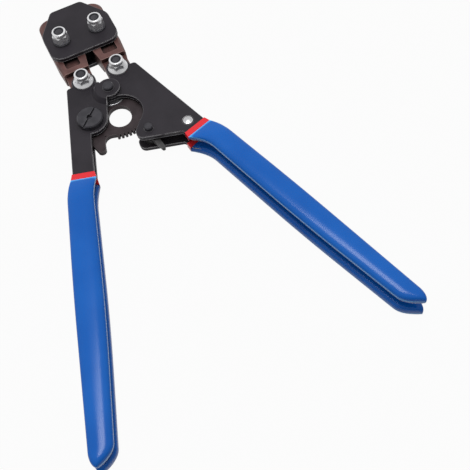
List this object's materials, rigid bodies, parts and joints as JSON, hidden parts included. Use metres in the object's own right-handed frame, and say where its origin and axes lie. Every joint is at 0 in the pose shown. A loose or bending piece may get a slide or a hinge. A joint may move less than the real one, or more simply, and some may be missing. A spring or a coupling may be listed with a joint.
{
  "type": "pex cinch clamp tool",
  "caption": "Ratcheting squeeze tool with blue dipped handles, whose linkage closes hinged jaws on the ear of a cinch clamp ring for plastic pipe.",
  "frame": {"origin": "middle of the back face of the main pivot pin", "axes": "+X to the right handle, +Y to the jaws, +Z along the pivot pin to the front face, handles open"},
  "size_m": [0.21, 0.3294, 0.0326],
  "materials": {
    "black_plate": "satin black coating on stamped steel",
    "black_hardware": "black oxide",
    "brown_steel": "forged steel with a red brown oxide skin",
    "sector_steel": "hardened steel, dark brown",
    "pawl_steel": "hardened steel, grey",
    "zinc": "bright zinc plating",
    "lock_insert": "dark nylon",
    "spring_steel": "bare spring steel",
    "blue_grip": "glossy dipped vinyl",
    "red_band": "glossy dipped vinyl"
  },
  "bodies": {
    "left_handle": {"left_front_plate": "black_plate", "left_back_plate": "black_plate", "left_front_grip": "blue_grip", "left_back_grip": "blue_grip", "left_front_band": "red_band", "left_back_band": "red_band", "lower_left_bolt": "black_hardware", "lower_left_nut": "zinc", "lower_left_insert": "lock_insert", "pivot_pin": "black_hardware", "pivot_bush": "black_hardware", "return_spring": "spring_steel", "left_spring_pin": "spring_steel", "ratchet_sector": "sector_steel", "sector_dowel": "spring_steel"},
    "right_handle": {"right_front_plate": "black_plate", "right_back_plate": "black_plate", "right_front_grip": "blue_grip", "right_back_grip": "blue_grip", "right_front_band": "red_band", "right_back_band": "red_band", "lower_right_bolt": "black_hardware", "lower_right_nut": "zinc", "lower_right_insert": "lock_insert", "right_tail_spacer": "black_hardware", "right_spring_pin": "spring_steel", "pawl_pin": "black_hardware", "pawl_spacer": "pawl_steel", "pawl_spring": "spring_steel", "plate_rivet": "zinc", "rivet_sleeve": "black_hardware"},
    "left_jaw_body": {"left_jaw": "brown_steel"},
    "right_jaw_body": {"right_jaw": "brown_steel"},
    "head": {"head_front_plate": "black_plate", "head_back_plate": "black_plate", "upper_bolts": "black_hardware", "upper_washers": "black_hardware", "upper_nuts": "zinc", "upper_inserts": "lock_insert"},
    "pawl": {"ratchet_pawl": "pawl_steel"},
    "adjuster": {"adjuster_screw": "black_hardware", "adjuster_nut": "black_hardware"}
  },
  "joints": [
    {"name": "handle_pivot", "type": "hinge", "parent": "left_handle", "child": "right_handle", "pos_m": [0, 0, 0.01105], "axis": [0, 0, -1], "range_deg": [0, 33], "stiffness_Nm_per_rad": 0.4, "springref_deg": -20.05, "deforming": ["return_spring"]},
    {"name": "left_jaw_pivot", "type": "hinge", "parent": "left_handle", "child": "left_jaw_body", "pos_m": [-0.0131, 0.0159, 0.01105], "axis": [0, 0, -1], "range_deg": [0, 22.5]},
    {"name": "head_pivot", "type": "hinge", "parent": "left_jaw_body", "child": "head", "pos_m": [-0.01355, 0.0562, 0.01105], "axis": [0, 0, 1], "range_deg": [0, 6]},
    {"name": "right_jaw_pivot", "type": "hinge", "parent": "right_handle", "child": "right_jaw_body", "pos_m": [0.0131, 0.0159, 0.01105], "axis": [0, 0, 1], "range_deg": [0, 22.5]},
    {"name": "pawl_pivot", "type": "hinge", "parent": "right_handle", "child": "pawl", "pos_m": [0.011, -0.0437, 0.01105], "axis": [0, 0, 1], "range_deg": [-10, 29], "stiffness_Nm_per_rad": 0.01},
    {"name": "adjuster_turn", "type": "hinge", "parent": "left_handle", "child": "adjuster", "pos_m": [-0.0209, -0.0181, 0.01105], "axis": [0, 0, 1], "range_deg": [-90, 90]}
  ],
  "couplings": [
    {"joint": "left_jaw_pivot", "follows": "handle_pivot", "ratio": 0.677},
    {"joint": "head_pivot", "follows": "handle_pivot", "ratio": 0.177},
    {"joint": "right_jaw_pivot", "follows": "handle_pivot", "ratio": 0.677}
  ]
}
